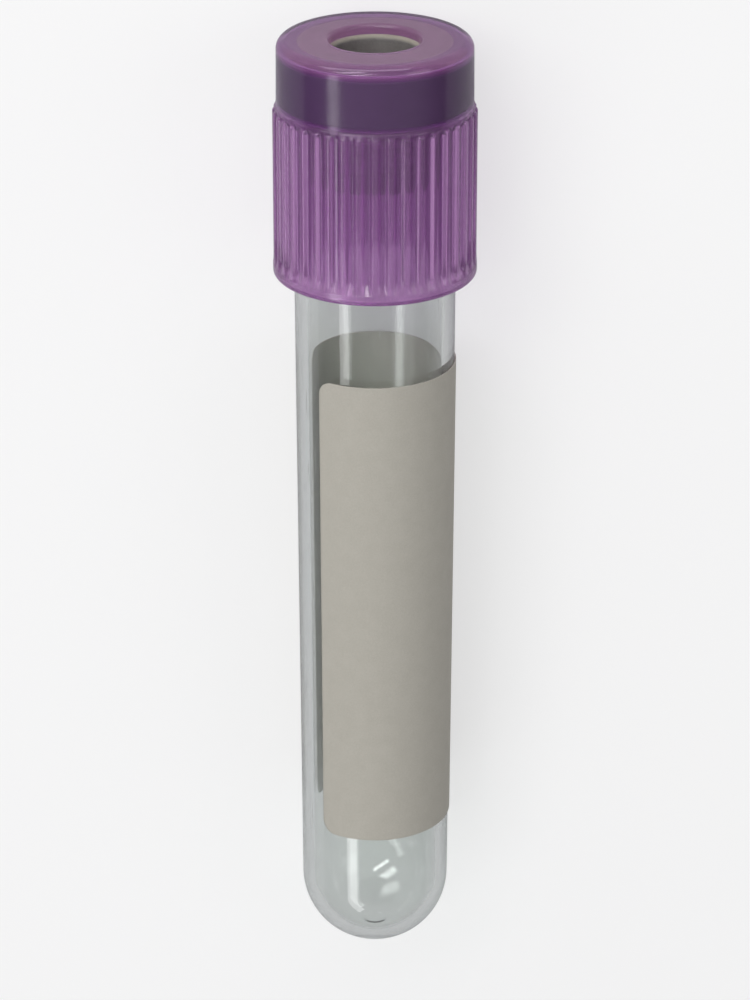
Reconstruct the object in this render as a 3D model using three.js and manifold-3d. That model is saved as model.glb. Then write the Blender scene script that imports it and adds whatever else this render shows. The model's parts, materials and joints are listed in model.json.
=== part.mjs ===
// Blood collection tube, 13 x 75 mm, closed by a rubber stopper under a ribbed plastic shield.
// Millimetres, +Z up. The pieces are drawn round the tube's own axis, with the round end's
// tip at height 0 and the cap on top, and the finished part is then laid on its side.
import * as THREE from 'three';
import { mergeVertices } from 'three/addons/utils/BufferGeometryUtils.js';
import Module from 'manifold-3d';

// ---- Driving dimensions ---------------------------------------------------------------

// Tube: moulded clear plastic, a little narrower towards its round end so that it leaves the mould.
const tubeLength = 75;
const mouthDiameter = 13.0;
const footDiameter = 12.3;
const tubeWall = 1.0;
const rimRadius = 0.35;
const gateRadius = 0.9;
const gateHeight = 0.15;

// Stopper: a thick flange that covers the rim, over a plug with two sealing beads.
const flangeDiameter = 14.1;
const flangeThickness = 4.3;
const flangeEdge = 0.35;
const plugDepth = 5.8;
const plugTipDiameter = 9.3;
const leadInHeight = 1.6;
const neckRelief = 0.3;
const beadHeight = 1.5;
const beadDrops = [1.4, 3.4];
const wellDiameter = 6.8;
const wellDepth = 4.0;
const wellDraft = 0.12;
const wellFillet = 0.7;
const recessDiameter = 5.4;
const recessDepth = 3.6;

// Shield: flat top with a centre hole, a plain band round the flange and a ribbed skirt.
const closureHeight = 19.2;
const topWall = 0.8;
const topEdge = 0.75;
const topDiameter = 15.4;
const bandDiameter = 15.5;
const bandHeight = 5.3;
const holeDiameter = 7.2;
const holeEdge = 0.25;
const skirtDiameter = 16.2;
const crestDiameter = 16.1;
const skirtBore = 13.9;
const skirtEdge = 0.3;
const hemHeight = 1.3;
const ribCount = 40;
const ribDepth = 0.28;
const ribFill = 0.46;
const ribRun = 0.45;
const ribRoot = 0.2;
const snapBore = 13.3;
const snapHeight = 0.9;

// Label: paper, wrapped round the tube short of meeting itself, so that a window is left.
const labelLength = 41;
const labelThickness = 0.1;
const labelCorner = 1.2;
const labelTopBelowSkirt = 7.5;
const windowAngle = THREE.MathUtils.degToRad(60);
const windowMiddle = THREE.MathUtils.degToRad(-73);

// Clearances between pieces that touch on the real tube.
const flangeClearance = 0.1;
const seatClearance = 0.05;
const plugClearance = 0.05;
const labelClearance = 0.04;

// Facets. The tube and the shield have few enough that the part lies still on one flat, which
// leaves them within 0.04 mm of round. The ribs' crests and the stopper have finer ones.
const outerFacets = 32;
const ribFacets = 2 * ribCount;
const stopperFacets = 64;
const arcSteps = 9;
const filletSteps = 3;

// ---- Derived places ---------------------------------------------------------------------

const mouthRadius = mouthDiameter / 2;
const footRadius = footDiameter / 2;
const footHeight = footRadius + gateHeight;
const innerFootRadius = footRadius - tubeWall;
const flangeBottom = tubeLength + seatClearance;
const flangeTop = flangeBottom + flangeThickness;
const shieldTop = flangeTop + flangeClearance + topWall;
const skirtBottom = shieldTop - closureHeight;
const hemTop = skirtBottom + hemHeight;
const bandBottom = shieldTop - bandHeight;
const ribBottom = hemTop - ribRun;
const labelTop = skirtBottom - labelTopBelowSkirt;
const labelBottom = labelTop - labelLength;

// Outer radius of the tube's wall at a height, on the straight taper from foot to mouth.
function tubeRadiusAt(height) {
  const share = (height - footHeight) / (tubeLength - footHeight);
  return THREE.MathUtils.lerp(footRadius, mouthRadius, share);
}

// Outer radius over the ribs' crests at a height, from the plain band down to the hem.
function crestRadiusAt(height) {
  const share = (bandBottom - height) / (bandBottom - ribBottom);
  return THREE.MathUtils.lerp(bandDiameter / 2 + ribDepth, crestDiameter / 2, share);
}

// ---- Helpers ------------------------------------------------------------------------------

const wasm = await Module();
wasm.setup();

const point = (radius, height) => new THREE.Vector2(radius, height);

// Points on a circular arc in the profile's plane, angles in degrees from the outward direction.
function arc(centre, radius, fromDegrees, toDegrees, steps) {
  const points = [];
  for (let i = 0; i <= steps; i += 1) {
    const angle = THREE.MathUtils.degToRad(THREE.MathUtils.lerp(fromDegrees, toDegrees, i / steps));
    points.push(point(centre.x + radius * Math.cos(angle), centre.y + radius * Math.sin(angle)));
  }
  return points;
}

// Revolves a profile of (radius, height) points round the tube's axis, with a flat facing down.
// The profile runs up the outside and down the inside, so that the faces point out.
function revolve(profile, facets) {
  const geometry = new THREE.LatheGeometry(profile, facets, Math.PI / facets);
  geometry.rotateX(Math.PI / 2);
  return geometry;
}

// A ring's profile closes on itself.
function revolveRing(profile, facets) {
  return revolve([...profile, profile[0].clone()], facets);
}

function toSolid(geometry) {
  const bare = geometry.clone();
  bare.deleteAttribute('normal');
  bare.deleteAttribute('uv');
  const merged = mergeVertices(bare);
  return new wasm.Manifold(new wasm.Mesh({
    numProp: 3,
    vertProperties: merged.attributes.position.array,
    triVerts: new Uint32Array(merged.index.array),
  }));
}

function toGeometry(solid) {
  const mesh = solid.getMesh();
  const geometry = new THREE.BufferGeometry();
  geometry.setAttribute('position', new THREE.BufferAttribute(mesh.vertProperties, 3));
  geometry.setIndex(new THREE.BufferAttribute(mesh.triVerts, 1));
  geometry.computeVertexNormals();
  return geometry;
}

// A flat outline extruded upwards from one height to another.
function slab(outline, bottom, top) {
  const geometry = new THREE.ExtrudeGeometry(outline, { depth: top - bottom, bevelEnabled: false });
  geometry.translate(0, 0, bottom);
  return geometry;
}

// Direction at an angle round the axis. Angle 0 faces up once the part lies down.
const around = (angle, radius) => point(radius * Math.sin(angle), -radius * Math.cos(angle));

// ---- Pieces -------------------------------------------------------------------------------

// One shell: round bottom with its moulding gate, tapered wall and a rounded rim.
function makeTube() {
  const gateAngle = THREE.MathUtils.radToDeg(Math.asin(gateRadius / footRadius)) - 90;
  const innerMouth = mouthRadius - tubeWall;
  const profile = [
    point(0, 0),
    point(gateRadius * 0.8, 0),
    ...arc(point(0, footHeight), footRadius, gateAngle, 0, arcSteps),
    ...arc(point(mouthRadius - rimRadius, tubeLength - rimRadius), rimRadius, 0, 90, filletSteps),
    ...arc(point(innerMouth + rimRadius, tubeLength - rimRadius), rimRadius, 90, 180, filletSteps),
    ...arc(point(0, footHeight), innerFootRadius, 0, -90, arcSteps).map((p, i, all) => (
      i === all.length - 1 ? point(0, p.y) : p)),
  ];
  return revolve(profile, outerFacets);
}

// Inner radius of the tube's wall at a height, where the plug seals.
const boreRadiusAt = (height) => tubeRadiusAt(height) - tubeWall;

// One rubber moulding: recess, lead-in, two sealing beads, neck, flange and needle well.
function makeStopper() {
  const plugBottom = tubeLength - plugDepth;
  const flangeRadius = flangeDiameter / 2;
  const recessRadius = recessDiameter / 2;
  const wellRadius = wellDiameter / 2;
  const wellBottom = flangeTop - wellDepth;
  const filletCentre = point(wellRadius - wellDraft - wellFillet, wellBottom + wellFillet);
  const profile = [
    point(0, plugBottom + recessDepth),
    ...arc(point(0, plugBottom + recessDepth - recessRadius), recessRadius, 90, 0, arcSteps).slice(1),
    point(recessRadius, plugBottom),
    point(plugTipDiameter / 2, plugBottom),
    point(boreRadiusAt(plugBottom) - neckRelief - plugClearance, plugBottom + leadInHeight),
  ];
  for (const drop of [...beadDrops].reverse()) {
    const middle = tubeLength - drop;
    const crest = boreRadiusAt(middle) - plugClearance;
    profile.push(point(crest - neckRelief, middle - beadHeight / 2));
    profile.push(point(crest, middle - beadHeight / 5));
    profile.push(point(crest, middle + beadHeight / 5));
    profile.push(point(crest - neckRelief, middle + beadHeight / 2));
  }
  profile.push(
    point(boreRadiusAt(tubeLength) - neckRelief - plugClearance, flangeBottom),
    point(flangeRadius - flangeEdge, flangeBottom),
    point(flangeRadius, flangeBottom + flangeEdge),
    point(flangeRadius, flangeTop - flangeEdge),
    point(flangeRadius - flangeEdge, flangeTop),
    point(wellRadius, flangeTop),
    ...arc(filletCentre, wellFillet, 0, -90, filletSteps),
    point(0, wellBottom),
  );
  return revolve(profile, stopperFacets);
}

// The ribs: a ring of radial blades, trimmed to the tapered envelope of their crests.
function makeRibs() {
  const pitch = (2 * Math.PI) / ribCount;
  const half = (pitch * ribFill) / 2;
  const rootRadius = bandDiameter / 2 - ribRoot;
  const outline = [];
  for (let i = 0; i < ribCount; i += 1) {
    const middle = i * pitch;
    outline.push(around(middle - half, rootRadius));
    outline.push(around(middle - half, skirtDiameter));
    outline.push(around(middle + half, skirtDiameter));
    outline.push(around(middle + half, rootRadius));
  }
  const blades = new THREE.Shape(outline);
  blades.holes.push(new THREE.Path().absarc(0, 0, rootRadius - ribRoot, 0, 2 * Math.PI, true));
  const envelope = revolveRing([
    point(skirtBore / 2, ribBottom),
    point(crestRadiusAt(ribBottom), ribBottom),
    point(crestRadiusAt(bandBottom - ribRun), bandBottom - ribRun),
    point(rootRadius, bandBottom),
    point(skirtBore / 2, bandBottom),
  ], ribFacets);
  return toSolid(slab(blades, skirtBottom, shieldTop)).intersect(toSolid(envelope));
}

// One moulding: top with its hole, upper chamber over the flange, snap bead, ribbed skirt.
function makeShield() {
  const chamberRadius = flangeDiameter / 2 + flangeClearance;
  const snapTop = flangeBottom - flangeClearance;
  const snapRadius = snapBore / 2;
  const boreRadius = skirtBore / 2;
  const valleyAt = (height) => crestRadiusAt(height) - ribDepth;
  const topRadius = topDiameter / 2;
  const body = revolveRing([
    point(boreRadius + skirtEdge, skirtBottom),
    point(skirtDiameter / 2 - skirtEdge, skirtBottom),
    point(skirtDiameter / 2, skirtBottom + skirtEdge),
    point(skirtDiameter / 2, ribBottom),
    point(valleyAt(hemTop), hemTop),
    point(bandDiameter / 2, bandBottom),
    ...arc(point(topRadius - topEdge, shieldTop - topEdge), topEdge, 0, 90, filletSteps + 1),
    point(holeDiameter / 2 + holeEdge, shieldTop),
    point(holeDiameter / 2, shieldTop - holeEdge),
    point(holeDiameter / 2, shieldTop - topWall),
    point(chamberRadius, shieldTop - topWall),
    point(chamberRadius, snapTop),
    point(snapRadius, snapTop),
    point(snapRadius, snapTop - snapHeight / 2),
    point(boreRadius, snapTop - snapHeight),
    point(boreRadius, skirtBottom + skirtEdge),
  ], outerFacets);
  return toGeometry(toSolid(body).add(makeRibs()));
}

// How far an upright edge of the label stops short of its full height, beside a rounded corner.
function cornerDrop(distanceFromSide) {
  const reach = Math.max(labelCorner - distanceFromSide, 0);
  return labelCorner - Math.sqrt(labelCorner ** 2 - reach ** 2);
}

// Angles of the label's columns: one on each edge between the tube's flats, and more at its corners.
function labelColumns() {
  const start = windowMiddle + windowAngle / 2;
  const end = windowMiddle - windowAngle / 2 + 2 * Math.PI;
  const facet = (2 * Math.PI) / outerFacets;
  const cornerSweep = labelCorner / mouthRadius;
  const angles = [];
  for (let i = 0; i <= filletSteps + 1; i += 1) {
    const along = cornerSweep * (1 - Math.cos((Math.PI / 2) * (i / (filletSteps + 1))));
    angles.push(start + along, end - along);
  }
  for (let edge = Math.ceil(start / facet - 0.5) + 0.5; edge * facet < end; edge += 1) {
    angles.push(edge * facet);
  }
  return angles.sort((a, b) => a - b);
}

// A strip of paper with rounded corners, laid on the tube's flats and short of meeting itself.
function makeLabel() {
  const columns = labelColumns();
  const facet = (2 * Math.PI) / outerFacets;
  const positions = [];
  for (const angle of columns) {
    const offFlat = angle - Math.round(angle / facet) * facet;
    const onFlat = Math.cos(facet / 2) / Math.cos(offFlat);
    const fromSide = Math.min(angle - columns[0], columns.at(-1) - angle) * mouthRadius;
    const low = labelBottom + cornerDrop(fromSide);
    const high = labelTop - cornerDrop(fromSide);
    for (const [height, lift] of [[low, 0], [low, labelThickness], [high, labelThickness], [high, 0]]) {
      const radius = (tubeRadiusAt(height) + labelClearance + lift) * onFlat;
      positions.push(...around(angle, radius), height);
    }
  }
  const faces = [0, 1, 2, 0, 2, 3];
  const last = (columns.length - 1) * 4;
  for (let first = 0; first < last; first += 4) {
    for (let i = 0; i < 4; i += 1) {
      const j = (i + 1) % 4;
      faces.push(first + i, first + 4 + i, first + 4 + j, first + i, first + 4 + j, first + j);
    }
  }
  faces.push(last, last + 2, last + 1, last, last + 3, last + 2);
  const geometry = new THREE.BufferGeometry();
  geometry.setAttribute('position', new THREE.Float32BufferAttribute(positions, 3));
  geometry.setIndex(faces);
  geometry.computeVertexNormals();
  return geometry;
}

// ---- Assembly -----------------------------------------------------------------------------

function piece(name, geometry, look) {
  const mesh = new THREE.Mesh(geometry, new THREE.MeshStandardMaterial(look));
  mesh.name = name;
  return mesh;
}

const assembly = new THREE.Group();
assembly.add(
  piece('tube', makeTube(), { color: 0xdfe6e4, roughness: 0.05, transparent: true, opacity: 0.3 }),
  piece('stopper', makeStopper(), { color: 0x4a4d4f, roughness: 0.75, metalness: 0 }),
  piece('cap_shield', makeShield(), { color: 0x9b6cab, roughness: 0.25, transparent: true, opacity: 0.75 }),
  piece('label', makeLabel(), { color: 0xe9e6dc, roughness: 0.85, metalness: 0 }),
);

// Lay the tube down with its cap towards +Y. It lies on a flat under the edge of its skirt and
// on one under the start of its round end, which sets the small slope of its axis.
const flatShare = Math.cos(Math.PI / outerFacets);
const rise = (skirtDiameter / 2 - footRadius) * flatShare;
const slope = Math.atan2(rise, skirtBottom + skirtEdge - footHeight);
assembly.rotation.x = slope - Math.PI / 2;

// Stand the whole on the ground, with the origin under the middle of its box.
const group = new THREE.Group();
group.add(assembly);
group.updateMatrixWorld(true);
const box = new THREE.Box3().setFromObject(group, true);
const middle = box.getCenter(new THREE.Vector3());
assembly.position.set(-middle.x, -middle.y, -box.min.z);

export default group;
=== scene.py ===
# %% [markdown]
# # A blood collection tube with a ribbed lavender cap
#
# The closed tube is four pieces: a clear plastic tube with a round end, a grey rubber stopper
# in its mouth, a lavender plastic shield snapped over the stopper, and a paper label. The
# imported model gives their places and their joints. This scene gives each of them the fine
# surface and the finish that a person sees, and it moves nothing.

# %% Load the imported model
import json
import math

import bpy
from mathutils import Matrix, Vector


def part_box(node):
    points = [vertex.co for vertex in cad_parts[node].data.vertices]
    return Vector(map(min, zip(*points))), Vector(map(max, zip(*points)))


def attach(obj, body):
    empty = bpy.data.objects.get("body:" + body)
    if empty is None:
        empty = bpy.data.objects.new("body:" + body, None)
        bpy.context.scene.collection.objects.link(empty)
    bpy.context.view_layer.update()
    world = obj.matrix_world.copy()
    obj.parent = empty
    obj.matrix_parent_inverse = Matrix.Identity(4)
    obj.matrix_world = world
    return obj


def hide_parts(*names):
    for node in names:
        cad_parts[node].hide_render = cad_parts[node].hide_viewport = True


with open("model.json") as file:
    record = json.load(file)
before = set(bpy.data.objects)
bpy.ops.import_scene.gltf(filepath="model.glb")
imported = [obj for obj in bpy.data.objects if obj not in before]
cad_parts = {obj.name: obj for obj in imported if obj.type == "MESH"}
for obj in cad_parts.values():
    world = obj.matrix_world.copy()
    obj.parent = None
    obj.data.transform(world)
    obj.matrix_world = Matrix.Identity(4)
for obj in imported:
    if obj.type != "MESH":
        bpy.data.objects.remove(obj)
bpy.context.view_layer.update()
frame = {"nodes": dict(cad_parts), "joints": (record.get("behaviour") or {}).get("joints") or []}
print("solids:", ", ".join(sorted(frame["nodes"])))

# %% [markdown]
# ## The tube's own axis
#
# The part lies on its side, and its wider cap lifts one end a little, so nothing on it is
# square to the scene. Every piece is round about one axis, though. The cap's twist joint says
# where that axis is and which way it runs, and its point is the middle of the tube's mouth.
# Each piece is drawn upright round Z, as a lathe operator would draw it, with height 0 at the
# tip of the round end. One matrix then lays it down.

# %% The matrix that lays a piece down
MM = 0.001
TUBE_LENGTH = 75 * MM

joints = {joint["name"]: joint for joint in frame["joints"]}
axis = Vector(joints["cap_twist"]["axis"]).normalized()
mouth = Vector(joints["cap_twist"]["pos_m"])
tip = mouth - axis * TUBE_LENGTH
across = Vector((1, 0, 0))
below = axis.cross(across)

lay_down = Matrix((across, below, axis)).transposed().to_4x4()
lay_down.translation = tip
print("axis rises", round(math.degrees(math.asin(axis.z)), 2), "degrees")

# %% [markdown]
# ## The camera
#
# Tubes are seen standing in a rack, from in front and a little above their caps. This one
# lies down, so the camera looks down on it instead, from the same place as seen from the
# tube: beyond the cap's top along the axis, and well off to the side. The picture's top is
# the cap's end. The lens is worked out so that the whole tube just fills the frame's height.

# %% Place the camera
CAP_TOP = 80.25 * MM
VIEW_BEYOND_CAP = 84 * MM
VIEW_OFF_AXIS = 270 * MM
SENSOR = 36.0
FILL = 0.86


def on_axis(height):
    """The place on the tube's axis at a height above the tip."""
    return tip + axis * height


def add_object(name, data):
    """Makes an object and puts it in the scene."""
    thing = bpy.data.objects.new(name, data)
    bpy.context.scene.collection.objects.link(thing)
    return thing


def make_camera():
    """A camera above the lying tube, turned so that the cap is at the top of the picture."""
    data = bpy.data.cameras.new("camera")
    data.sensor_width = SENSOR
    eye = on_axis(CAP_TOP + VIEW_BEYOND_CAP) - below * VIEW_OFF_AXIS
    to_cap = (on_axis(CAP_TOP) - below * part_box("cap_shield")[1].x - eye).normalized()
    to_foot = (tip - eye).normalized()
    forward = (to_cap + to_foot).normalized()
    half_angle = to_cap.angle(to_foot) / 2
    data.lens = SENSOR / 2 * FILL / math.tan(half_angle)
    camera = add_object("camera", data)
    turned = Matrix((across, (-forward).cross(across), -forward)).transposed().to_4x4()
    turned.translation = eye
    camera.matrix_world = turned
    return camera


camera = make_camera()
bpy.context.scene.camera = camera
print("lens", round(camera.data.lens, 1), "mm")

# %% [markdown]
# ## Helpers for turned pieces
#
# Moulded tubes, stoppers and caps are all bodies of revolution, so most of the work is
# drawing a good outline. An outline is a list of corners, each with a radius, a height and
# the fillet that the mould leaves there. `rounded` replaces each corner by its arc, and puts
# a point close to both ends of every long straight run, so that smooth shading stays flat
# between them.

# %% Outlines with fillets
FILLET_STEPS = 8


def arc(centre, radius, start, end, steps):
    """Points on an arc of an outline. Angles are in degrees from straight out."""
    points = []
    for i in range(steps + 1):
        angle = math.radians(start + (end - start) * i / steps)
        points.append((centre[0] + radius * math.cos(angle), centre[1] + radius * math.sin(angle)))
    return points


def fillet(before, corner, after, radius):
    """The arc that rounds one corner of an outline."""
    here = Vector(corner)
    back = (Vector(before) - here).normalized()
    on = (Vector(after) - here).normalized()
    half = back.angle(on) / 2
    centre = here + (back + on).normalized() * radius / math.sin(half)
    start = here + back * radius / math.tan(half) - centre
    end = here + on * radius / math.tan(half) - centre
    sweep = start.angle_signed(end)
    points = []
    for i in range(FILLET_STEPS + 1):
        turn_by = -sweep * i / FILLET_STEPS
        step = Vector((
            start.x * math.cos(turn_by) - start.y * math.sin(turn_by),
            start.x * math.sin(turn_by) + start.y * math.cos(turn_by),
        ))
        points.append(tuple(centre + step))
    return points


# %% Corners into outline points
HOLD = 0.06 * MM
LONG_RUN = 6 * HOLD


def held(points, closed):
    """Adds a point near each end of the long straight runs."""
    result = []
    count = len(points)
    for i, point in enumerate(points):
        result.append(point)
        if i == count - 1 and not closed:
            break
        run = Vector(points[(i + 1) % count]) - Vector(point)
        if run.length > LONG_RUN:
            step = run.normalized() * HOLD
            result.append(tuple(Vector(point) + step))
            result.append(tuple(Vector(point) + run - step))
    return result


def rounded(corners, closed=False):
    """Turns (radius, height, fillet) corners, in millimetres, into outline points in metres."""
    plain = [(r * MM, z * MM) for r, z, _ in corners]
    count = len(plain)
    points = []
    for i, (_, _, size) in enumerate(corners):
        if size == 0 or (not closed and i in (0, count - 1)):
            points.append(plain[i])
        else:
            points += fillet(plain[i - 1], plain[i], plain[(i + 1) % count], size * MM)
    return held(points, closed)


# %% [markdown]
# `turn` spins an outline round the axis, as a lathe would. The outline runs up the outside
# and down the inside, which makes every face point outwards. A point on the axis is a single
# vertex, so that the pole closes without a seam.

# %% Turn an outline
ON_AXIS = 1e-9


def turn(outline, around, closed=False):
    """A mesh made by spinning an outline of (radius, height) points round Z."""
    vertices, faces, rings = [], [], []
    for radius, height in outline:
        first = len(vertices)
        if radius < ON_AXIS:
            vertices.append((0, 0, height))
            rings.append([first] * around)
            continue
        for j in range(around):
            angle = 2 * math.pi * j / around
            vertices.append((radius * math.sin(angle), -radius * math.cos(angle), height))
        rings.append(list(range(first, first + around)))
    pairs = list(zip(rings, rings[1:]))
    if closed:
        pairs.append((rings[-1], rings[0]))
    for low, high in pairs:
        for j in range(around):
            k = (j + 1) % around
            face = []
            for vertex in (low[j], low[k], high[k], high[j]):
                if vertex not in face:
                    face.append(vertex)
            if len(face) > 2:
                faces.append(face)
    mesh = bpy.data.meshes.new("turned")
    mesh.from_pydata(vertices, [], faces)
    mesh.shade_smooth()
    return mesh


# %% [markdown]
# A finished mesh becomes a piece in `place`. The mesh itself is laid down, so the object stays
# unturned at the scene's origin, where the joints can carry it. The piece is hung on the body
# it rides on, the solid it stands in for is hidden, and it shows the material given to it.

# %% Place a piece
def place(name, mesh, body, node, material):
    """Makes a piece of a mesh, lays it down, hangs it on its body and hides the solid it replaces.
    """
    mesh.transform(lay_down)
    mesh.name = name
    if material.name not in mesh.materials:
        mesh.materials.clear()
        mesh.materials.append(material)
    piece = add_object(name, mesh)
    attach(piece, body)
    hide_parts(node)
    print(name, len(mesh.polygons), "faces")
    return piece


# %% [markdown]
# ## Helpers for Geometry Nodes
#
# Two shapes here follow a rule: the ribs round the cap, and the label wrapped on the tube.
# Each rule is a small Geometry Nodes tree, whose named inputs start at the part's own measures.
# `run_tree` gives a mesh to a tree, sets inputs by their identifiers, and keeps the result as
# a plain mesh. The maths helpers serve the trees of the materials too.

# %% Small helpers for trees
def new_tree(name, inputs):
    """A Geometry Nodes tree with one geometry in and out, and named number inputs."""
    tree = bpy.data.node_groups.new(name, "GeometryNodeTree")
    tree.interface.new_socket("Geometry", in_out="INPUT", socket_type="NodeSocketGeometry")
    for label, default in inputs.items():
        kind = "NodeSocketMaterial" if default is None else "NodeSocketFloat"
        socket = tree.interface.new_socket(label, in_out="INPUT", socket_type=kind)
        if default is not None:
            socket.default_value = default
    tree.interface.new_socket("Geometry", in_out="OUTPUT", socket_type="NodeSocketGeometry")
    return tree


def maths(tree, operation, *values):
    """A Math node fed by numbers or sockets. Returns its output socket."""
    node = tree.nodes.new("ShaderNodeMath")
    node.operation = operation
    for socket, value in zip(node.inputs, values):
        if isinstance(value, (int, float)):
            socket.default_value = value
        else:
            tree.links.new(value, socket)
    return node.outputs[0]


def split(tree, vector):
    """The three numbers of a vector."""
    node = tree.nodes.new("ShaderNodeSeparateXYZ")
    tree.links.new(vector, node.inputs[0])
    return node.outputs


def from_z_axis(tree, x, y):
    """How far a place is from the Z axis."""
    squares = maths(tree, "ADD", maths(tree, "MULTIPLY", x, x), maths(tree, "MULTIPLY", y, y))
    return maths(tree, "SQRT", squares)


def inverse(tree, mask):
    """1 minus a mask."""
    return maths(tree, "SUBTRACT", 1.0, mask)


def smooth_step(tree, value, low, high):
    """0 below low, 1 above high, and a smooth slope between."""
    node = tree.nodes.new("ShaderNodeMapRange")
    node.interpolation_type = "SMOOTHSTEP"
    for name, given in (("Value", value), ("From Min", low), ("From Max", high)):
        if isinstance(given, (int, float)):
            node.inputs[name].default_value = given
        else:
            tree.links.new(given, node.inputs[name])
    return node.outputs["Result"]


# %% Finish a tree and run it
def finish_tree(tree, geometry, material):
    """Ends a tree in Realize Instances and Set Material."""
    realize = tree.nodes.new("GeometryNodeRealizeInstances")
    paint = tree.nodes.new("GeometryNodeSetMaterial")
    end = tree.nodes.new("NodeGroupOutput")
    tree.links.new(geometry, realize.inputs[0])
    tree.links.new(realize.outputs[0], paint.inputs["Geometry"])
    tree.links.new(material, paint.inputs["Material"])
    tree.links.new(paint.outputs[0], end.inputs[0])


def carry(mesh, kind):
    """Puts a mesh on a passing object with one modifier. Returns both."""
    carrier = add_object("carrier", mesh)
    return carrier, carrier.modifiers.new("shape", kind)


def keep_result(carrier):
    """The carrier's mesh after its modifier, as a new plain mesh. The carrier goes."""
    graph = bpy.context.evaluated_depsgraph_get()
    result = bpy.data.meshes.new_from_object(carrier.evaluated_get(graph))
    bpy.data.objects.remove(carrier)
    return result


def run_tree(mesh, tree, values):
    """Runs a mesh through a tree, and returns the result as a new plain mesh."""
    carrier, modifier = carry(mesh, "NODES")
    modifier.node_group = tree
    for item in tree.interface.items_tree:
        if item.in_out == "INPUT" and item.name in values:
            modifier[item.identifier] = values[item.name]
    result = keep_result(carrier)
    result.shade_smooth()
    return result


# %% [markdown]
# ## Effects that several finishes share
#
# Nothing that is handled in a lab stays perfect. `Handling` is a faint pattern of smears and
# fine scratches for the two glossy plastics: it puts out how rough a spot is and a height.
# `Mottle` is the fine unevenness of rubber, paper and milky plastic: it puts out a mask and a
# height. Each is a node group, built once, and each material gives it its own values.

# %% What both effects are built from
def new_effect(name, inputs, outputs):
    """A shader node group with named number inputs and outputs. Returns group, start and end."""
    group = bpy.data.node_groups.new(name, "ShaderNodeTree")
    group.interface.new_socket("Vector", in_out="INPUT", socket_type="NodeSocketVector")
    for label, default in inputs.items():
        socket = group.interface.new_socket(label, in_out="INPUT", socket_type="NodeSocketFloat")
        socket.default_value = default
    for label in outputs:
        group.interface.new_socket(label, in_out="OUTPUT", socket_type="NodeSocketFloat")
    return group, group.nodes.new("NodeGroupInput"), group.nodes.new("NodeGroupOutput")


def noise(tree, vector, scale, detail, roughness=0.5):
    """A Noise Texture's value between 0 and 1."""
    node = tree.nodes.new("ShaderNodeTexNoise")
    node.inputs["Detail"].default_value = detail
    node.inputs["Roughness"].default_value = roughness
    tree.links.new(vector, node.inputs["Vector"])
    tree.links.new(scale, node.inputs["Scale"])
    return node.outputs["Fac"]


# %% Handling
SMEAR_EDGES = (0.42, 0.72)
SCRATCH_EDGES = (0.68, 0.78)
SCRATCH_STRETCH = (1.0, 1.0, 0.04)
SCRATCHES_PER_SMEAR = 60.0


def stretched(tree, vector, scale):
    """The same place, drawn out along some of its axes."""
    node = tree.nodes.new("ShaderNodeMapping")
    node.inputs["Scale"].default_value = scale
    tree.links.new(vector, node.inputs["Vector"])
    return node.outputs[0]


def make_handling():
    """Broad smears, and fine scratches that run along the tube."""
    group, start, end = new_effect(
        "Handling",
        {"Roughness": 0.1, "Smears": 0.1, "Scratches": 0.2, "Scale": 120.0},
        ("Roughness", "Height"),
    )
    place_of = start.outputs["Vector"]
    patches = noise(group, place_of, start.outputs["Scale"], detail=3)
    smears = smooth_step(group, patches, *SMEAR_EDGES)
    along = stretched(group, place_of, SCRATCH_STRETCH)
    fineness = maths(group, "MULTIPLY", start.outputs["Scale"], SCRATCHES_PER_SMEAR)
    scratches = smooth_step(group, noise(group, along, fineness, detail=1), *SCRATCH_EDGES)
    added = maths(
        group,
        "ADD",
        maths(group, "MULTIPLY", smears, start.outputs["Smears"]),
        maths(group, "MULTIPLY", scratches, start.outputs["Scratches"]),
    )
    group.links.new(maths(group, "ADD", added, start.outputs["Roughness"]), end.inputs["Roughness"])
    group.links.new(maths(group, "MULTIPLY", scratches, -1.0), end.inputs["Height"])
    return group


handling = make_handling()
print("effect:", handling.name, "with", len(handling.nodes), "nodes")

# %% Mottle
MOTTLE_EDGES = (0.3, 0.7)


def make_mottle():
    """Two sizes of grain, weighed against each other."""
    group, start, end = new_effect(
        "Mottle",
        {"Coarse": 300.0, "Fine": 4000.0, "Balance": 0.5},
        ("Mask", "Height"),
    )
    given = start.outputs
    coarse = noise(group, given["Vector"], given["Coarse"], detail=3)
    fine = noise(group, given["Vector"], given["Fine"], detail=4, roughness=0.65)
    fine_share = maths(group, "MULTIPLY", fine, given["Balance"])
    coarse_share = maths(group, "MULTIPLY", coarse, inverse(group, given["Balance"]))
    both = maths(group, "ADD", fine_share, coarse_share)
    group.links.new(smooth_step(group, both, *MOTTLE_EDGES), end.inputs["Mask"])
    group.links.new(both, end.inputs["Height"])
    return group


mottle = make_mottle()
print("effect:", mottle.name, "with", len(mottle.nodes), "nodes")

# %% [markdown]
# ## Helpers for finishes
#
# A pattern has to stay on its piece, so every material reads Object coordinates. A Mapping
# node turns them back to the upright drawing of the piece, where Z runs along the tube and
# X and Y lie across it. Then grain and scratches run the way the mould made them.

# %% Start a finish
upright = lay_down.inverted()


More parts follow.
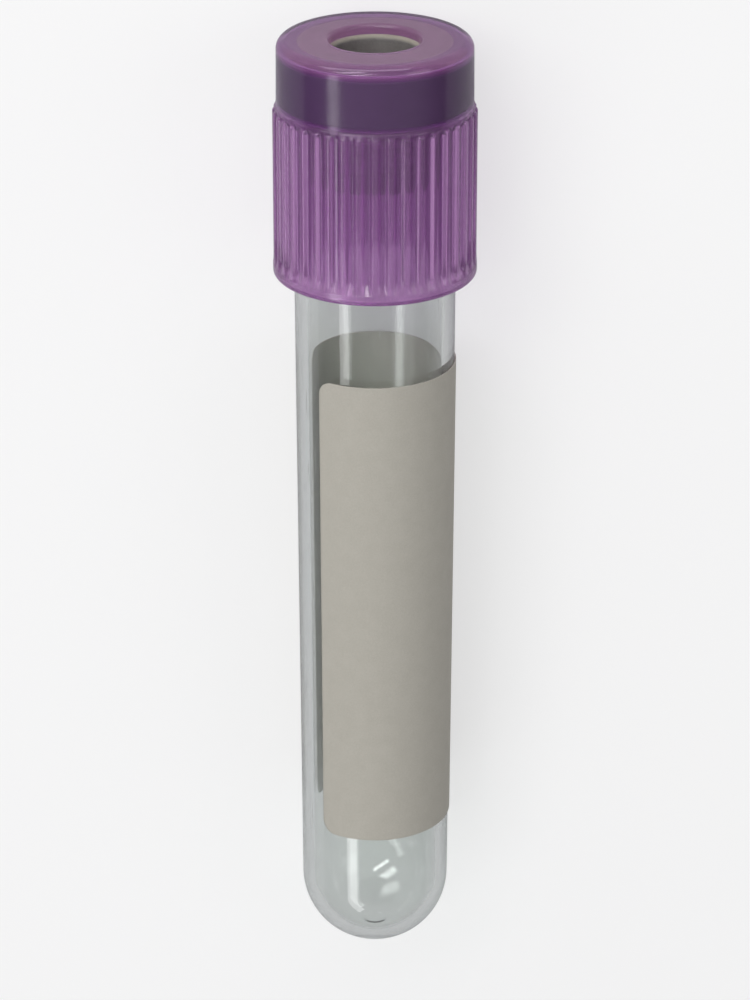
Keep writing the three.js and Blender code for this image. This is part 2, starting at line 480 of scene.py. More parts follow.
def new_finish(name, colour, **values):
    """A material with a Principled BSDF, and a socket with the place on the upright piece."""
    material = bpy.data.materials.new(name)
    material.use_nodes = True
    tree = material.node_tree
    surface = tree.nodes["Principled BSDF"]
    surface.inputs["Base Color"].default_value = (*colour, 1.0)
    for socket, value in values.items():
        surface.inputs[socket.replace("_", " ")].default_value = value
    coordinates = tree.nodes.new("ShaderNodeTexCoord")
    mapping = tree.nodes.new("ShaderNodeMapping")
    mapping.inputs["Location"].default_value = upright.translation
    mapping.inputs["Rotation"].default_value = upright.to_euler()
    tree.links.new(coordinates.outputs["Object"], mapping.inputs["Vector"])
    return material, tree, surface, mapping.outputs[0]


def effect(tree, group, vector, **values):
    """Places a shared effect in a material with its own values."""
    node = tree.nodes.new("ShaderNodeGroup")
    node.node_tree = group
    tree.links.new(vector, node.inputs["Vector"])
    for name, value in values.items():
        node.inputs[name].default_value = value
    return node


def bump(tree, surface, height, distance):
    """Feeds a height to the surface's normal. The distance is in metres."""
    node = tree.nodes.new("ShaderNodeBump")
    node.inputs["Distance"].default_value = distance
    tree.links.new(height, node.inputs["Height"])
    tree.links.new(node.outputs["Normal"], surface.inputs["Normal"])


# %% Masks and colours
def from_axis(tree, where):
    """How far a place is from the tube's axis, and its height above the tip."""
    x, y, z = split(tree, where)
    return from_z_axis(tree, x, y), z


def blend_colours(tree, mask, low, high):
    """A colour that goes from low to high with the mask."""
    node = tree.nodes.new("ShaderNodeMix")
    node.data_type = "RGBA"
    tree.links.new(mask, node.inputs["Factor"])
    for socket, colour in ((node.inputs[6], low), (node.inputs[7], high)):
        if isinstance(colour, tuple):
            socket.default_value = (*colour, 1.0)
        else:
            tree.links.new(colour, socket)
    return node.outputs[2]


# %% [markdown]
# Light that passes a clear or thin wall on its way from a lamp is bent a little in truth, and
# falls in bright lines that take very long to render well. `let_lamps_through` lets it go
# straight on instead, tinted by the wall, which keeps the shadows pale and clean. `absorb`
# takes off light with the depth of plastic it crosses.

# %% Light through a wall
def mix_surfaces(tree, share, first, second):
    """Feeds the material's surface from two shaders, by the second one's share."""
    mix = tree.nodes.new("ShaderNodeMixShader")
    for socket, given in zip(mix.inputs, (share, first.outputs[0], second.outputs[0])):
        tree.links.new(given, socket)
    tree.links.new(mix.outputs[0], tree.nodes["Material Output"].inputs["Surface"])


def let_lamps_through(tree, surface, colour):
    """Lets part of the lamps' light pass, as a clear wall does, so that it casts a pale shadow."""
    path = tree.nodes.new("ShaderNodeLightPath")
    passing = tree.nodes.new("ShaderNodeBsdfTransparent")
    passing.inputs["Color"].default_value = (*colour, 1.0)
    mix_surfaces(tree, path.outputs["Is Shadow Ray"], surface, passing)


def absorb(tree, colour, density):
    """Takes a little light off on the way through a clear piece, so that thick parts darken."""
    inside = tree.nodes.new("ShaderNodeVolumeAbsorption")
    inside.inputs["Color"].default_value = (*colour, 1.0)
    inside.inputs["Density"].default_value = density
    tree.links.new(inside.outputs[0], tree.nodes["Material Output"].inputs["Volume"])


# %% [markdown]
# ## The clear plastic
#
# The tube is clear polyester, as bright as glass but a touch greyer, with faint scratches. A
# Glass BSDF would do, but a Principled BSDF with full transmission looks the same and is the
# one shader that most other programs read. The wall takes off a little light on the way
# through, and that shows where it is seen edge-on, as a darker line along each side.

# %% Clear plastic
CLEAR = (0.93, 0.945, 0.935)
CLEAR_SHADOW = (0.88, 0.9, 0.89)
CLEAR_DEPTHS = (0.4, 0.5, 0.45)
CLEAR_DENSITY = 70.0
SCRATCH_DEPTH = 0.002 * MM


def make_clear_plastic():
    """Full transmission, faint marks of handling, and a little light lost inside."""
    material, tree, surface, where = new_finish(
        "clear plastic", CLEAR, IOR=1.57, Transmission_Weight=1.0
    )
    marks = effect(tree, handling, where, Roughness=0.02, Smears=0.03, Scratches=0.12, Scale=90.0)
    tree.links.new(marks.outputs["Roughness"], surface.inputs["Roughness"])
    bump(tree, surface, marks.outputs["Height"], SCRATCH_DEPTH)
    let_lamps_through(tree, surface, CLEAR_SHADOW)
    absorb(tree, CLEAR_DEPTHS, CLEAR_DENSITY)
    return material


clear_plastic = make_clear_plastic()
print("finish:", clear_plastic.name)

# %% [markdown]
# ## The lavender plastic
#
# The shield is milky lavender polyethylene. A volume of fine haze inside it would be truest,
# and slow and grainy to render. A plain Principled BSDF does it well, with nine tenths of its
# light passing through and a tenth scattered back. Its colour is painted darker in the band,
# as painted shade where dark rubber is pressed against its inside, and painted paler on the
# crests of the ribs and on the hem, as a painted highlight. Both are masks made from how far a
# spot is from the axis and how high it is above the tip.

# %% Lavender plastic
LAVENDER = (0.49, 0.26, 0.54)
DEEP = ((0.445, 0.215, 0.485), (0.485, 0.25, 0.525))
# Painted highlight: the paler colour of the ribs' crests and the hem.
CREST_HIGHLIGHT = ((0.61, 0.33, 0.64), (0.67, 0.39, 0.7))
# Painted shade: the darker colour of the band over the rubber.
BAND_SHADE = (0.35, 0.155, 0.42)
LAVENDER_SHADOW = (0.7, 0.48, 0.74)
LAVENDER_GRAIN = 0.003 * MM
CREST_HIGHLIGHT_RADII = (7.8 * MM, 8.0 * MM)
BAND_FOOT = (74.9 * MM, 75.2 * MM)
BAND_HEAD = (78.9 * MM, 79.5 * MM)


def make_lavender_plastic():
    """Milky transmission, with painted shade over the rubber and a painted highlight on the crests.
    """
    material, tree, surface, where = new_finish(
        "lavender plastic", LAVENDER, IOR=1.51, Transmission_Weight=0.9, Specular_IOR_Level=0.45
    )
    marks = effect(tree, handling, where, Roughness=0.16, Smears=0.06, Scratches=0.04, Scale=140.0)
    grain = effect(tree, mottle, where, Coarse=500.0, Fine=5000.0, Balance=0.6)
    deep = blend_colours(tree, grain.outputs["Mask"], *DEEP)
    crest_highlight = blend_colours(tree, grain.outputs["Mask"], *CREST_HIGHLIGHT)
    radius, z = from_axis(tree, where)
    # Painted highlight on the crests and the hem, by how far a spot is from the axis.
    colour = blend_colours(tree, smooth_step(tree, radius, *CREST_HIGHLIGHT_RADII), deep, crest_highlight)
    # Painted shade in the band over the rubber, between its foot and its head.
    below_head = inverse(tree, smooth_step(tree, z, *BAND_HEAD))
    band = maths(tree, "MULTIPLY", smooth_step(tree, z, *BAND_FOOT), below_head)
    colour = blend_colours(tree, band, colour, BAND_SHADE)
    tree.links.new(colour, surface.inputs["Base Color"])
    tree.links.new(marks.outputs["Roughness"], surface.inputs["Roughness"])
    bump(tree, surface, grain.outputs["Height"], LAVENDER_GRAIN)
    let_lamps_through(tree, surface, LAVENDER_SHADOW)
    return material


lavender_plastic = make_lavender_plastic()
print("finish:", lavender_plastic.name)

# %% [markdown]
# ## The grey rubber
#
# The stopper is butyl rubber, a dull dark grey. Wax and dust give it a pale bloom where
# nothing rubs it off, in the needle well. The flange's top under the cap takes the same pale
# colour, as dust and a painted sheen that lightens the cap's flat top. Painting that on by hand
# would need an image, so it is a mask of two simple zones instead.

# %% Grey rubber
RUBBER = (0.065, 0.066, 0.073)
CLEAN = ((0.041, 0.044, 0.056), (0.059, 0.062, 0.077))
# The pale colour is dust in the well, and dust and a painted sheen on the flange's top.
DUST_AND_SHEEN = ((0.24, 0.224, 0.178), (0.33, 0.31, 0.252))
RUBBER_ROUGHNESS = 0.62
RUBBER_GRAIN = 0.02 * MM
WELL_ACROSS = (3.145 * MM, 3.7 * MM)
WELL_HEIGHTS = (74.5 * MM, 75.5 * MM)
WELL_SHARE = 0.6
# The flange's top, where the pale colour is dust and a painted sheen.
TOP_DUST_AND_SHEEN = (78.9 * MM, 79.4 * MM)


def dust_and_sheen_mask(tree, where):
    """1 on the flange's top, for dust and a painted sheen, and less in the well, for dust."""
    radius, z = from_axis(tree, where)
    inside = inverse(tree, smooth_step(tree, radius, *WELL_ACROSS))
    well = maths(tree, "MULTIPLY", inside, smooth_step(tree, z, *WELL_HEIGHTS))
    well = maths(tree, "MULTIPLY", well, WELL_SHARE)
    return maths(tree, "MAXIMUM", well, smooth_step(tree, z, *TOP_DUST_AND_SHEEN))


def make_grey_rubber():
    """Dull dark rubber, dusty in the well, with dust and a painted sheen on the flange's top."""
    material, tree, surface, where = new_finish("grey rubber", RUBBER, IOR=1.5)
    grain = effect(tree, mottle, where, Coarse=900.0, Fine=9000.0, Balance=0.7)
    clean = blend_colours(tree, grain.outputs["Mask"], *CLEAN)
    dust_and_sheen = blend_colours(tree, grain.outputs["Mask"], *DUST_AND_SHEEN)
    colour = blend_colours(tree, dust_and_sheen_mask(tree, where), clean, dust_and_sheen)
    tree.links.new(colour, surface.inputs["Base Color"])
    surface.inputs["Roughness"].default_value = RUBBER_ROUGHNESS
    bump(tree, surface, grain.outputs["Height"], RUBBER_GRAIN)
    return material


grey_rubber = make_grey_rubber()
print("finish:", grey_rubber.name)

# %% [markdown]
# ## The label paper
#
# The label is an uncoated off-white paper, left bare. Its colour is painted a greyer beige
# than that, as painted shade. It wavers a little with the fibres, and the paper is thin enough
# to let a little of the lamps' light into the tube. Without that, the inside seen through the
# window would be as dark as a tin.

# %% Label paper
# Painted shade: the paper's colours are greyer than off-white paper.
SHADED_PAPER = (0.41, 0.391, 0.342)
SHADED_PAPER_FIBRES = ((0.388, 0.369, 0.321), (0.432, 0.413, 0.363))
PAPER_SHADOW = (0.24, 0.22, 0.18)
PAPER_ROUGHNESS = 0.82
PAPER_GRAIN = 0.008 * MM


def make_label_paper():
    """Matt paper with faint fibres, through which a little light passes."""
    material, tree, surface, where = new_finish("label paper", SHADED_PAPER, IOR=1.45)
    fibres = effect(tree, mottle, where, Coarse=900.0, Fine=9000.0, Balance=0.72)
    # Painted shade: both fibre colours are greyer than the off-white paper.
    colour = blend_colours(tree, fibres.outputs["Mask"], *SHADED_PAPER_FIBRES)
    tree.links.new(colour, surface.inputs["Base Color"])
    surface.inputs["Roughness"].default_value = PAPER_ROUGHNESS
    bump(tree, surface, fibres.outputs["Height"], PAPER_GRAIN)
    let_lamps_through(tree, surface, PAPER_SHADOW)
    return material


label_paper = make_label_paper()
print("finish:", label_paper.name)

# %% [markdown]
# ## The tube
#
# It is one moulding. The plastic enters at the tip of the round end, where a small gate mark
# stays. The tube is a little narrower at that end, so that it slips out of its mould. Half a
# sphere joined to a cylinder would leave a crease in the reflections where they meet, so one
# outline is turned instead: from the tip up the outside, over the rim and down the inside.

# %% Turn the tube
MOUTH_RADIUS = 6.5
FOOT_RADIUS = 6.15
WALL = 1.0
RIM = 0.35
GATE_FLAT = 0.5
GATE_EDGE = 1.5
GATE_HEIGHT = 0.15
GATE_STEPS = 8
LENGTH = TUBE_LENGTH / MM
FOOT_HEIGHT = FOOT_RADIUS + GATE_HEIGHT
DOME_STEPS = 40
TUBE_AROUND = 192


def tube_radius(height):
    """Outer radius of the wall, in millimetres, at a height above the tip."""
    share = (height - FOOT_HEIGHT) / (LENGTH - FOOT_HEIGHT)
    return FOOT_RADIUS + (MOUTH_RADIUS - FOOT_RADIUS) * share


def make_tube():
    """Gate mark, dome, wall, rim, and the same inside, as one outline."""
    middle = (0, FOOT_HEIGHT * MM)
    gate_angle = math.degrees(math.asin(GATE_EDGE / FOOT_RADIUS)) - 90
    gate = [(0, 0)]
    for i in range(GATE_STEPS):
        share = i / GATE_STEPS
        radius = GATE_FLAT + (GATE_EDGE - GATE_FLAT) * share
        dome = FOOT_HEIGHT - math.sqrt(FOOT_RADIUS**2 - radius**2)
        gate.append((radius * MM, dome * share**2 * (3 - 2 * share) * MM))
    outside = arc(middle, FOOT_RADIUS * MM, gate_angle, 0, DOME_STEPS)
    inner = (FOOT_RADIUS - WALL) * MM
    inside = arc(middle, inner, 0, -90, DOME_STEPS)
    inside[-1] = (0, inside[-1][1])
    rim = rounded([
        (FOOT_RADIUS, FOOT_HEIGHT, 0),
        (MOUTH_RADIUS, LENGTH, RIM),
        (MOUTH_RADIUS - WALL, LENGTH, RIM),
        (FOOT_RADIUS - WALL, FOOT_HEIGHT, 0),
    ])
    outline = gate + outside + rim[1:-1] + inside
    mesh = turn(outline, TUBE_AROUND)
    return place("clear_tube", mesh, "tube", "tube", clear_plastic)


make_tube()

# %% [markdown]
# ## The stopper
#
# One piece of moulded rubber. From below: a round recess in the plug's end, a tapered lead-in,
# two sealing beads that press on the bore, and the thick flange that covers the rim. The well
# in its top guides the needle to the thin middle. The flange is squeezed into the shield, so
# it is drawn a hair wider than the space it fills: where rubber wets the plastic there is no
# air to reflect, and the band round it looks dark right out to its edges. Its top is slightly
# crowned, so it presses on the plate near the hole and leaves a thin gap of air outside that.
# The gap is what makes the light line under the cap's edge.

# %% Turn the stopper
SEAT = 0.05
CHAMBER_RADIUS = 7.15
FLANGE_PRESS = 0.04
FLANGE_RADIUS = CHAMBER_RADIUS + FLANGE_PRESS
TOP_WALL = 0.8
FLANGE_BOTTOM = LENGTH + SEAT
FLANGE_TOP = CAP_TOP / MM - TOP_WALL + FLANGE_PRESS
FLANGE_FOOT_ROUND = 0.4
FLANGE_HEAD_ROUND = 0.6
FLANGE_CROWN = 0.2
CROWN_RADIUS = 5.8
CROWN_ROUND = 0.5
PLUG_BOTTOM = LENGTH - 5.8
PLUG_END_RADIUS = 4.65
PLUG_END_ROUND = 0.35
PLUG_CLEARANCE = 0.05
LEAD_IN_HEIGHT = 1.2
LEAD_IN_ROUND = 0.4
NECK_RELIEF = 0.3
NECK_ROUND = 0.2
BEAD_HEIGHT = 1.5
BEAD_ROUND = 0.25
BEAD_DROPS = (3.4, 1.4)
WELL_RADIUS = 3.4
WELL_DEPTH = 4.0
WELL_DRAFT = 0.12
WELL_MOUTH_ROUND = 0.5
WELL_FLOOR_ROUND = 0.8
RECESS_RADIUS = 2.7
RECESS_DEPTH = 3.6
RECESS_MOUTH_ROUND = 0.25
RECESS_STEPS = 16
STOPPER_AROUND = 160


def plug_radius(height):
    """Radius of the plug where it meets the bore, in millimetres."""
    return tube_radius(height) - WALL - PLUG_CLEARANCE


def bead(drop):
    """The four corners of a sealing bead, at a depth below the tube's rim."""
    middle = LENGTH - drop
    crest = plug_radius(middle)
    return [
        (crest - NECK_RELIEF, middle - BEAD_HEIGHT / 2, NECK_ROUND),
        (crest, middle - BEAD_HEIGHT / 5, BEAD_ROUND),
        (crest, middle + BEAD_HEIGHT / 5, BEAD_ROUND),
        (crest - NECK_RELIEF, middle + BEAD_HEIGHT / 2, NECK_ROUND),
    ]


def make_stopper():
    """Recess, plug with its beads, flange and well, as one outline."""
    recess_height = PLUG_BOTTOM + RECESS_DEPTH - RECESS_RADIUS
    recess = arc((0, recess_height * MM), RECESS_RADIUS * MM, 90, 0, RECESS_STEPS)
    recess[0] = (0, recess[0][1])
    corners = [
        (RECESS_RADIUS, recess_height, 0),
        (RECESS_RADIUS, PLUG_BOTTOM, RECESS_MOUTH_ROUND),
        (PLUG_END_RADIUS, PLUG_BOTTOM, PLUG_END_ROUND),
        (plug_radius(PLUG_BOTTOM) - NECK_RELIEF, PLUG_BOTTOM + LEAD_IN_HEIGHT, LEAD_IN_ROUND),
    ]
    for drop in BEAD_DROPS:
        corners += bead(drop)
    corners += [
        (plug_radius(LENGTH) - NECK_RELIEF, FLANGE_BOTTOM, NECK_ROUND),
        (FLANGE_RADIUS, FLANGE_BOTTOM, FLANGE_FOOT_ROUND),
        (FLANGE_RADIUS, FLANGE_TOP - FLANGE_CROWN, FLANGE_HEAD_ROUND),
        (CROWN_RADIUS, FLANGE_TOP, CROWN_ROUND),
        (WELL_RADIUS, FLANGE_TOP, WELL_MOUTH_ROUND),
        (WELL_RADIUS - WELL_DRAFT, FLANGE_TOP - WELL_DEPTH, WELL_FLOOR_ROUND),
        (0, FLANGE_TOP - WELL_DEPTH, 0),
    ]
    mesh = turn(recess + rounded(corners)[1:], STOPPER_AROUND)
    return place("rubber_stopper", mesh, "stopper", "stopper", grey_rubber)


make_stopper()

# %% [markdown]
# ## The shield
#
# The shield keeps blood off the fingers, and its ribs are what they grip. It is turned first
# without ribs: the hem at the foot of the skirt, the plain wall, the band round the flange,
# the flat top with its hole, then inside the chamber for the flange and the bead that it
# snaps over.

# %% Measures of the shield
CLOSURE_HEIGHT = 19.2
TOP_RADIUS = 7.7
TOP_ROUND = 0.75
BAND_RADIUS = 7.75
BAND_HEIGHT = 5.3
HOLE_RADIUS = 3.6
HOLE_ROUND = 0.3
HOLE_UNDER_ROUND = 0.1
CHAMBER_ROUND = 0.2
SKIRT_RADIUS = 8.1
SKIRT_BORE = 6.95
HEM_HEIGHT = 1.3
HEM_INSIDE_ROUND = 0.25
HEM_OUTSIDE_ROUND = 0.3
HEM_HEAD_ROUND = 0.14
RIB_COUNT = 40
RIB_DEPTH = 0.28
RIB_RUN = 0.45
RIB_SWEEP = 0.45
RIB_FOOT_ROUND = 0.5
RIB_FADE = 0.4
RIB_EDGES = (-0.85, 0.9)
LEAST_RIB_RADIUS = SKIRT_BORE + 0.6
LEDGE = 0.1
LEDGE_ROUND = 0.04
CREST_RADIUS = 8.05
SNAP_RADIUS = 6.65
SNAP_HEIGHT = 0.9
SNAP_ROUND = 0.12
SNAP_HEAD_ROUND = 0.1
SNAP_FOOT_ROUND = 0.3
FLANGE_CLEARANCE = 0.1
SHIELD_TOP = CAP_TOP / MM
SKIRT_BOTTOM = SHIELD_TOP - CLOSURE_HEIGHT
HEM_TOP = SKIRT_BOTTOM + HEM_HEIGHT
BAND_BOTTOM = SHIELD_TOP - BAND_HEIGHT
RIB_BOTTOM = HEM_TOP - RIB_RUN
SEGMENTS_PER_RIB = 16
FADE_ROWS = 6


def crest_radius(height):
    """Outer radius over the ribs, in millimetres."""
    share = (BAND_BOTTOM - height) / (BAND_BOTTOM - RIB_BOTTOM)
    top = BAND_RADIUS + RIB_DEPTH
    return top + (CREST_RADIUS - top) * share


print("ribs:", RIB_COUNT, "from", round(RIB_BOTTOM, 2), "to", round(BAND_BOTTOM, 2), "mm")

# %% [markdown]
# Forty bars joined to the wall would each leave a hard line at their foot, and moulded ribs
# have none. So a node tree raises them from the wall itself. It moves each point out towards
# the crest line by a wave that runs round the axis, and the wave dies away under the band.

# %% The tree that raises ribs
def make_rib_tree():
    """Moves the wall out towards a line of crests, by a wave that runs round the axis."""
    tree = new_tree("Raise Ribs", {
        "Rib Count": float(RIB_COUNT),
        "Crest Radius Low": CREST_RADIUS * MM,
        "Crest Radius High": (BAND_RADIUS + RIB_DEPTH) * MM,
        "Low Height": RIB_BOTTOM * MM,
        "High Height": (BAND_BOTTOM - LEDGE) * MM,
        "Run Out": RIB_FADE * MM,
        "Least Radius": LEAST_RIB_RADIUS * MM,
        "Rib Edge Low": RIB_EDGES[0],
        "Rib Edge High": RIB_EDGES[1],
        "Material": None,
    })
    given = tree.nodes.new("NodeGroupInput").outputs
    x, y, z = split(tree, tree.nodes.new("GeometryNodeInputPosition").outputs[0])
    radius = from_z_axis(tree, x, y)
    angle = maths(tree, "ARCTAN2", x, maths(tree, "MULTIPLY", y, -1.0))
    wave = maths(tree, "COSINE", maths(tree, "MULTIPLY", angle, given["Rib Count"]))
    rib = smooth_step(tree, wave, given["Rib Edge Low"], given["Rib Edge High"])
    run_start = maths(tree, "SUBTRACT", given["High Height"], given["Run Out"])
    fade = inverse(tree, smooth_step(tree, z, run_start, given["High Height"]))
    climb = maths(tree, "SUBTRACT", z, given["Low Height"])
    span = maths(tree, "SUBTRACT", given["High Height"], given["Low Height"])
    share = maths(tree, "DIVIDE", climb, span)
    narrowing = maths(tree, "SUBTRACT", given["Crest Radius High"], given["Crest Radius Low"])
    crest = maths(tree, "ADD", given["Crest Radius Low"], maths(tree, "MULTIPLY", narrowing, share))
    outside = maths(tree, "GREATER_THAN", radius, given["Least Radius"])
    above = maths(tree, "GREATER_THAN", z, given["Low Height"])
    wall = maths(tree, "MULTIPLY", outside, above)
    mask = maths(tree, "MULTIPLY", wall, maths(tree, "MULTIPLY", rib, fade))
    gap = maths(tree, "MAXIMUM", maths(tree, "SUBTRACT", crest, radius), 0.0)
    grow = maths(tree, "DIVIDE", maths(tree, "MULTIPLY", gap, mask), radius)
    move = tree.nodes.new("ShaderNodeCombineXYZ")
    tree.links.new(maths(tree, "MULTIPLY", x, grow), move.inputs[0])
    tree.links.new(maths(tree, "MULTIPLY", y, grow), move.inputs[1])
    shift = tree.nodes.new("GeometryNodeSetPosition")
    tree.links.new(given["Geometry"], shift.inputs["Geometry"])
    tree.links.new(move.outputs[0], shift.inputs["Offset"])
    finish_tree(tree, shift.outputs[0], given["Material"])
    return tree


rib_tree = make_rib_tree()
print("tree:", rib_tree.name, "with", len(rib_tree.nodes), "nodes")

# %% Turn the shield and raise its ribs
def make_shield():
    """Hem, skirt, band, top and chamber as one closed outline, turned and then ribbed."""
    snap_top = FLANGE_BOTTOM - FLANGE_CLEARANCE
    corners = [
        (SKIRT_BORE, SKIRT_BOTTOM, HEM_INSIDE_ROUND),
        (SKIRT_RADIUS, SKIRT_BOTTOM, HEM_OUTSIDE_ROUND),
        (SKIRT_RADIUS, RIB_BOTTOM, HEM_HEAD_ROUND),
        (crest_radius(HEM_TOP) - RIB_DEPTH, HEM_TOP + RIB_SWEEP, RIB_FOOT_ROUND),
    ]
    for i in range(FADE_ROWS + 1):
        height = BAND_BOTTOM - LEDGE - RIB_FADE * (1 - i / FADE_ROWS)
        corners.append((crest_radius(height) - RIB_DEPTH + LEDGE * i / FADE_ROWS, height, 0))
    corners += [
        (BAND_RADIUS, BAND_BOTTOM, LEDGE_ROUND),
        (TOP_RADIUS, SHIELD_TOP, TOP_ROUND),
        (HOLE_RADIUS, SHIELD_TOP, HOLE_ROUND),
        (HOLE_RADIUS, SHIELD_TOP - TOP_WALL, HOLE_UNDER_ROUND),
        (CHAMBER_RADIUS, SHIELD_TOP - TOP_WALL, CHAMBER_ROUND),
        (CHAMBER_RADIUS, snap_top, SNAP_HEAD_ROUND),
        (SNAP_RADIUS, snap_top, SNAP_ROUND),
        (SNAP_RADIUS, snap_top - SNAP_HEIGHT / 2, SNAP_ROUND),
        (SKIRT_BORE, snap_top - SNAP_HEIGHT, SNAP_FOOT_ROUND),
    ]
    plain = turn(rounded(corners, closed=True), RIB_COUNT * SEGMENTS_PER_RIB, closed=True)
    mesh = run_tree(plain, rib_tree, {"Material": lavender_plastic})
    return place(
        "ribbed_shield", mesh, "shield", "cap_shield", lavender_plastic
    )


make_shield()

# %% [markdown]
# ## The label
#
# The label could be cut out of a sleeve round the tube, but its corners would be hard to get
# right there. So it starts as what it is: a flat strip of paper with rounded corners, made
# here as a grid whose end rows are a little narrower. It is wrapped so that it stops short of
# meeting itself, which leaves open the window through which the blood is seen.

# %% Measures of the label
LABEL_LENGTH = 41
LABEL_TOP = SKIRT_BOTTOM - 7.5
LABEL_BOTTOM = LABEL_TOP - LABEL_LENGTH
LABEL_CLEARANCE = 0.04
LABEL_THICKNESS = 0.1
LABEL_CORNER = 1.2
WINDOW = math.radians(60)
WINDOW_MIDDLE = math.radians(-73)
LABEL_SWEEP = 2 * math.pi - WINDOW
LABEL_WIDTH = LABEL_SWEEP * tube_radius((LABEL_TOP + LABEL_BOTTOM) / 2)
LABEL_ACROSS = 180
CORNER_ROWS = 10
print("label", LABEL_LENGTH, "by", round(LABEL_WIDTH, 1), "mm when flat")

# %% [markdown]
# A second tree wraps the strip on the tube: its width becomes an angle, and its length runs
# along the wall's taper. Solidify then gives the paper its thickness.

# %% The tree that wraps a label
def make_wrap_tree():
    """Turns a place across the flat strip into an angle, and along it into a height."""
    tree = new_tree("Wrap Label", {
        "Radius Low": (tube_radius(LABEL_BOTTOM) + LABEL_CLEARANCE) * MM,
        "Radius High": (tube_radius(LABEL_TOP) + LABEL_CLEARANCE) * MM,
        "Low Height": LABEL_BOTTOM * MM,
        "Length": LABEL_LENGTH * MM,
        "Middle Angle": WINDOW_MIDDLE + math.pi,
        "Sweep": LABEL_SWEEP,
        "Material": None,
    })
    given = tree.nodes.new("NodeGroupInput").outputs
    place_of = tree.nodes.new("GeometryNodeInputPosition").outputs[0]
    widthwise, lengthwise, _ = split(tree, place_of)
    turned = maths(tree, "MULTIPLY", widthwise, given["Sweep"])
    angle = maths(tree, "ADD", given["Middle Angle"], turned)
    growth = maths(tree, "SUBTRACT", given["Radius High"], given["Radius Low"])
    radius = maths(tree, "ADD", given["Radius Low"], maths(tree, "MULTIPLY", growth, lengthwise))
    climb = maths(tree, "MULTIPLY", given["Length"], lengthwise)
    minus_radius = maths(tree, "MULTIPLY", radius, -1.0)
    wrapped = tree.nodes.new("ShaderNodeCombineXYZ")
    for socket, value in zip(wrapped.inputs, (
        maths(tree, "MULTIPLY", radius, maths(tree, "SINE", angle)),
        maths(tree, "MULTIPLY", minus_radius, maths(tree, "COSINE", angle)),
        maths(tree, "ADD", given["Low Height"], climb),
    )):
        tree.links.new(value, socket)
    shift = tree.nodes.new("GeometryNodeSetPosition")
    tree.links.new(given["Geometry"], shift.inputs["Geometry"])
    tree.links.new(wrapped.outputs[0], shift.inputs["Position"])
    finish_tree(tree, shift.outputs[0], given["Material"])
    return tree


wrap_tree = make_wrap_tree()
print("tree:", wrap_tree.name, "with", len(wrap_tree.nodes), "nodes")

# %% Cut the flat strip
def corner_inset(depth):
    """How far a rounded corner draws the edge in, at a depth from the strip's end."""
    short = max(LABEL_CORNER - depth, 0)
    return LABEL_CORNER - math.sqrt(max(LABEL_CORNER**2 - short**2, 0))


def cut_strip():
    """A flat strip from 0 to 1 along its length and from -0.5 to 0.5 across it."""
    rows = []
    for i in range(CORNER_ROWS + 1):
        depth = LABEL_CORNER * (1 - math.cos(math.pi / 2 * i / CORNER_ROWS))
        rows.append(depth / LABEL_LENGTH)
    rows += [1 - row for row in reversed(rows)]
    vertices, faces = [], []
    for row in rows:
        half = 0.5 - corner_inset(min(row, 1 - row) * LABEL_LENGTH) / LABEL_WIDTH
        vertices += [(half * (2 * j / LABEL_ACROSS - 1), row, 0) for j in range(LABEL_ACROSS + 1)]
    for i in range(len(rows) - 1):
        first = i * (LABEL_ACROSS + 1)
        for j in range(first, first + LABEL_ACROSS):
            faces.append((j, j + 1, j + LABEL_ACROSS + 2, j + LABEL_ACROSS + 1))
    mesh = bpy.data.meshes.new("strip")
    mesh.from_pydata(vertices, [], faces)
    return mesh


# %% Wrap the strip and thicken it
def thicken(mesh, thickness):
    """Gives a sheet its thickness, outwards from its face."""
    carrier, modifier = carry(mesh, "SOLIDIFY")
    modifier.thickness = thickness
    modifier.offset = 1
    return keep_result(carrier)


def make_label():
    """The flat strip, wrapped round the tube and made as thick as paper."""
    wrapped = run_tree(cut_strip(), wrap_tree, {"Material": label_paper})
    mesh = thicken(wrapped, LABEL_THICKNESS * MM)
    return place("paper_label", mesh, "tube", "label", label_paper)


make_label()

# %% [markdown]
# ## The floor
#
# The part lies on a plain pale floor. More light would turn it white, but would bleach the
# part with it. So the floor shows to the camera as nearly white by its own share of glow, and
# it still takes the part's shadow. Far from the part the glow takes over, so that the floor
# meets the background without a line. In a gloss it is greyer, because a wide white floor
# mirrored in a cap's side would hide the cap's own colour.

# %% Floor
FLOOR_SIZE = 6.0
FLOOR_COLOUR = (0.84, 0.84, 0.84)
BACKGROUND = (0.96, 0.96, 0.96)
FLOOR_DROP = 0.04 * MM
LIFT = 0.6
LIFT_FADE = (0.1, 0.6)
FLOOR_IN_GLOSS = (0.5, 0.5, 0.51)
FLOOR_THROUGH = 0.42
WORLD_THROUGH = 0.6


def sight_mask(tree, through):
    """1 where the camera looks, less where it looks through clear plastic, 0 for the light."""
    path = tree.nodes.new("ShaderNodeLightPath")
    clear = maths(tree, "MULTIPLY", path.outputs["Is Transmission Ray"], through)
    return maths(tree, "MAXIMUM", path.outputs["Is Camera Ray"], clear)


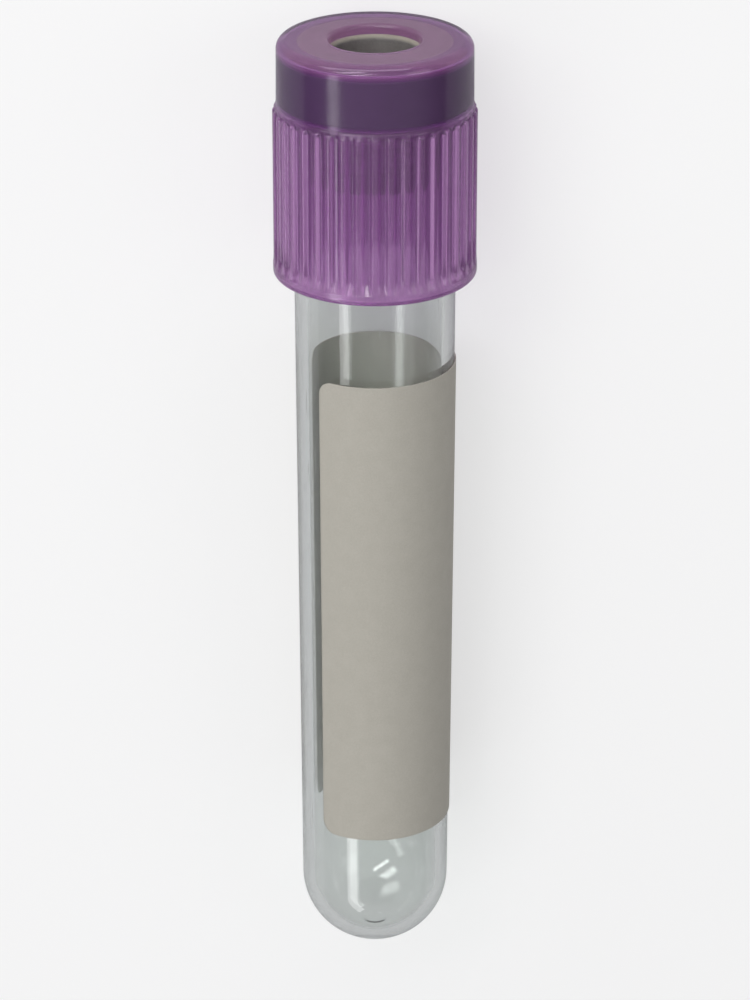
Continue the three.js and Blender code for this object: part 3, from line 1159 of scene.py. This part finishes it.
def make_floor():
    """One flat square under the part, in a matt pale finish that glows a little to the eye."""
    half = FLOOR_SIZE / 2
    mesh = bpy.data.meshes.new("floor")
    square = ((-half, -half), (half, -half), (half, half), (-half, half))
    mesh.from_pydata([(x, y, -FLOOR_DROP) for x, y in square], [], [(0, 1, 2, 3)])
    floor = add_object("floor", mesh)
    material = bpy.data.materials.new("pale floor")
    material.use_nodes = True
    tree = material.node_tree
    matt = tree.nodes.new("ShaderNodeBsdfDiffuse")
    in_gloss = tree.nodes.new("ShaderNodeLightPath").outputs["Is Glossy Ray"]
    shade = blend_colours(tree, in_gloss, FLOOR_COLOUR, FLOOR_IN_GLOSS)
    tree.links.new(shade, matt.inputs["Color"])
    glow = tree.nodes.new("ShaderNodeEmission")
    glow.inputs["Color"].default_value = (*BACKGROUND, 1.0)
    x, y, _ = split(tree, tree.nodes.new("ShaderNodeTexCoord").outputs["Object"])
    far = smooth_step(tree, from_z_axis(tree, x, y), *LIFT_FADE)
    lift = maths(tree, "ADD", LIFT, maths(tree, "MULTIPLY", far, 1.0 - LIFT))
    mix_surfaces(tree, maths(tree, "MULTIPLY", sight_mask(tree, FLOOR_THROUGH), lift), matt, glow)
    mesh.materials.append(material)


make_floor()
print("floor", FLOOR_SIZE, "m across")

# %% [markdown]
# ## The light
#
# The world is bright overhead and darker near the horizon, which gives the clear wall the dark
# edges that make it readable, and the camera sees it as nearly white.
#
# Five lamps stand round the part. The key is a long soft lamp high on the left, and draws the
# line of light down the ribs. A narrow lamp overhead gives the shadow its direction. The back
# lamp is wide and stands low beyond the cap: it lights the flat top and puts the glint on its
# edge. The fill softens the right side, and the strip gives the round end its highlights.

# %% World
HORIZON = (0.12, 0.12, 0.13)
OVERHEAD = (0.44, 0.44, 0.45)
OVERHEAD_FROM = (0.1, 0.9)


def make_world():
    """Bright overhead, dim at the horizon, and nearly white where it is seen."""
    world = bpy.data.worlds.new("studio")
    bpy.context.scene.world = world
    world.use_nodes = True
    tree = world.node_tree
    direction = tree.nodes.new("ShaderNodeTexCoord").outputs["Generated"]
    overhead = smooth_step(tree, split(tree, direction)[2], *OVERHEAD_FROM)
    colour = blend_colours(tree, overhead, HORIZON, OVERHEAD)
    seen = blend_colours(tree, sight_mask(tree, WORLD_THROUGH), colour, BACKGROUND)
    tree.links.new(seen, tree.nodes["Background"].inputs["Color"])


make_world()
print("world:", bpy.context.scene.world.name)

# %% Lamps
LAMPS = {
    # place, size across and along, and power in watts
    "key": ((-0.3, 0.35, 0.5), (0.45, 0.16), 1.3),
    "overhead": ((-0.12, 0.17, 0.55), (0.36, 0.06), 0.6),
    "back": ((-0.1, 0.5, 0.2), (0.8, 0.2), 1.6),
    "fill": ((0.6, 0.1, 0.5), (0.5, 0.4), 0.7),
    "strip": ((-0.34, -0.3, 0.4), (0.5, 0.12), 0.6),
}


def add_lamp(name, where, size, watts):
    """A soft rectangular lamp that faces the part."""
    data = bpy.data.lights.new(name, "AREA")
    data.shape = "RECTANGLE"
    data.size, data.size_y = size
    data.energy = watts
    lamp = add_object(name, data)
    lamp.location = where
    lamp.rotation_mode = "QUATERNION"
    lamp.rotation_quaternion = (-Vector(where)).to_track_quat("-Z", "Y")


for name, (where, size, watts) in LAMPS.items():
    add_lamp(name, where, size, watts)
print("lamps:", ", ".join(LAMPS))

# %% [markdown]
# ## Finish
#
# Plain colour management keeps a colour about as it is written.

# %% Colour management
bpy.context.scene.view_settings.view_transform = "Standard"
